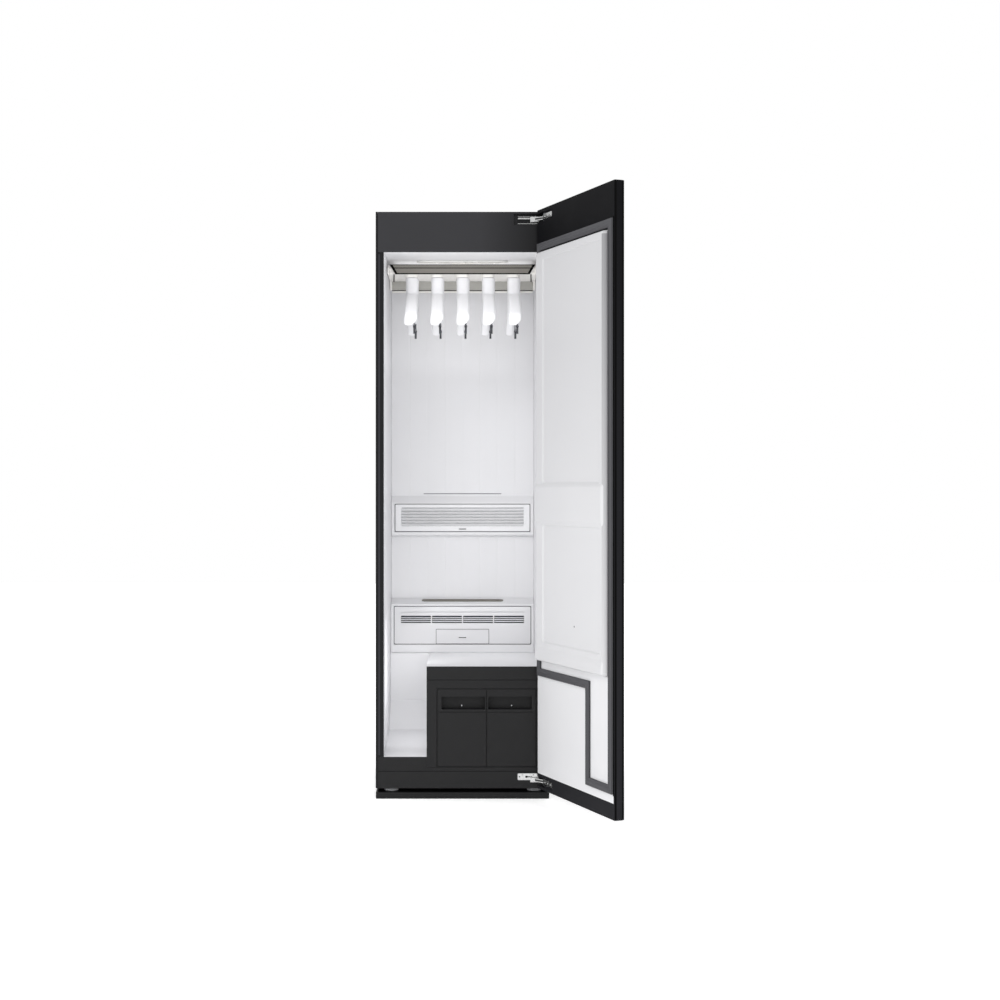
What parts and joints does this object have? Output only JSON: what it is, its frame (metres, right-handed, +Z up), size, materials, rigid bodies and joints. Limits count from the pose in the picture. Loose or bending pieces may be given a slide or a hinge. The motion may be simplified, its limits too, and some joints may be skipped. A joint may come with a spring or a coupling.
{
  "type": "clothes care steam cabinet",
  "caption": "Tall black steam cabinet with a white garment chamber, air hangers on a nozzle rail, pull-out water tanks and one side-hinged door, shown open.",
  "frame": {"origin": "on the floor, under the centre of the cabinet body without its door", "axes": "+X to the right seen from the front, +Y to the back, +Z up"},
  "size_m": [0.7746, 1.1641, 1.96],
  "materials": {
    "cabinet_black": "satin coated sheet steel",
    "black_moulding": "fine moulded texture",
    "zinc_sheet": "zinc plated sheet",
    "liner_white": "semi-matt thermoformed liner",
    "white_moulding": "satin injection moulding",
    "taupe_moulding": "satin moulding",
    "cream_moulding": "satin moulding",
    "lamp_lens": "opal diffuser",
    "bright_steel": "nickel plated",
    "smoked_tank": "smoked clear moulding",
    "grey_moulding": "glass-filled moulding",
    "board_green": "solder mask",
    "fin_aluminium": "mill finish fins",
    "black_glass": "back-painted toughened glass",
    "gasket_rubber": "soft matt seal"
  },
  "bodies": {
    "cabinet": {"plinth_tray": "cabinet_black", "chassis_with_feet": "cabinet_black", "side_panel_left": "cabinet_black", "side_panel_right": "cabinet_black", "top_panel": "cabinet_black", "rear_panel": "zinc_sheet", "rear_service_cover": "zinc_sheet", "header_panel": "cabinet_black", "front_stile_left": "cabinet_black", "front_stile_right": "cabinet_black", "front_sill": "black_moulding", "tank_bay_fascia": "black_moulding", "tank_bay_tub": "black_moulding", "chamber_wall_left": "liner_white", "chamber_wall_right": "liner_white", "chamber_back_wall": "liner_white", "chamber_ceiling": "liner_white", "chamber_floor": "liner_white", "leg_well": "liner_white", "upper_duct_housing": "liner_white", "lower_duct_housing": "liner_white", "lower_vent_panel": "white_moulding", "air_intake_trim": "taupe_moulding", "ceiling_lamp": "lamp_lens", "rail_front_beam": "taupe_moulding", "rail_frame": "taupe_moulding", "nozzle_plenum": "cream_moulding", "blower_housing": "grey_moulding", "blower_motor": "zinc_sheet", "control_board": "board_green", "compressor": "cabinet_black", "heat_exchanger": "fin_aluminium", "steam_generator": "grey_moulding", "lower_hinge_arm": "bright_steel", "upper_hinge_arm": "bright_steel"},
    "door": {"lower_hinge_bracket": "bright_steel", "upper_hinge_bracket": "bright_steel", "door_glass": "black_glass", "door_frame": "black_moulding", "door_liner": "liner_white", "door_lower_panel": "liner_white", "door_gasket": "gasket_rubber"},
    "supply_tank": {"supply_tank_tub": "smoked_tank", "supply_tank_cover": "black_moulding"},
    "drain_tank": {"drain_tank_tub": "smoked_tank", "drain_tank_cover": "black_moulding"},
    "hanger_1": {"air_hanger_1": "white_moulding", "trouser_bar_1": "bright_steel"},
    "hanger_2": {"air_hanger_2": "white_moulding", "trouser_bar_2": "bright_steel"},
    "hanger_3": {"air_hanger_3": "white_moulding", "trouser_bar_3": "bright_steel"},
    "hanger_4": {"air_hanger_4": "white_moulding", "trouser_bar_4": "bright_steel"},
    "hanger_5": {"air_hanger_5": "white_moulding", "trouser_bar_5": "bright_steel"},
    "fan_wheel": {"blower_wheel": "grey_moulding"},
    "upper_vent": {"upper_vent_panel": "white_moulding"},
    "cartridge": {"fragrance_cartridge": "white_moulding"}
  },
  "joints": [
    {"name": "door_swing", "type": "hinge", "parent": "cabinet", "child": "door", "pos_m": [0.272, -0.323, 1], "axis": [0, 0, 1], "range_deg": [-111, 0]},
    {"name": "supply_tank_pull", "type": "slide", "parent": "cabinet", "child": "supply_tank", "axis": [0, -1, 0], "range_m": [0, 0.28]},
    {"name": "drain_tank_pull", "type": "slide", "parent": "cabinet", "child": "drain_tank", "axis": [0, -1, 0], "range_m": [0, 0.28]},
    {"name": "hanger_1_release", "type": "slide", "parent": "cabinet", "child": "hanger_1", "axis": [0, 0, -1], "range_m": [0, 0.05]},
    {"name": "hanger_2_release", "type": "slide", "parent": "cabinet", "child": "hanger_2", "axis": [0, 0, -1], "range_m": [0, 0.05]},
    {"name": "hanger_3_release", "type": "slide", "parent": "cabinet", "child": "hanger_3", "axis": [0, 0, -1], "range_m": [0, 0.05]},
    {"name": "hanger_4_release", "type": "slide", "parent": "cabinet", "child": "hanger_4", "axis": [0, 0, -1], "range_m": [0, 0.05]},
    {"name": "hanger_5_release", "type": "slide", "parent": "cabinet", "child": "hanger_5", "axis": [0, 0, -1], "range_m": [0, 0.05]},
    {"name": "fan_spin", "type": "hinge", "parent": "cabinet", "child": "fan_wheel", "pos_m": [0, 0.014, 1.897], "axis": [1, 0, 0], "continuous": true},
    {"name": "upper_vent_pull", "type": "slide", "parent": "cabinet", "child": "upper_vent", "axis": [0, -1, 0], "range_m": [0, 0.06]},
    {"name": "cartridge_pull", "type": "slide", "parent": "cabinet", "child": "cartridge", "axis": [0, -1, 0], "range_m": [0, 0.06]}
  ]
}
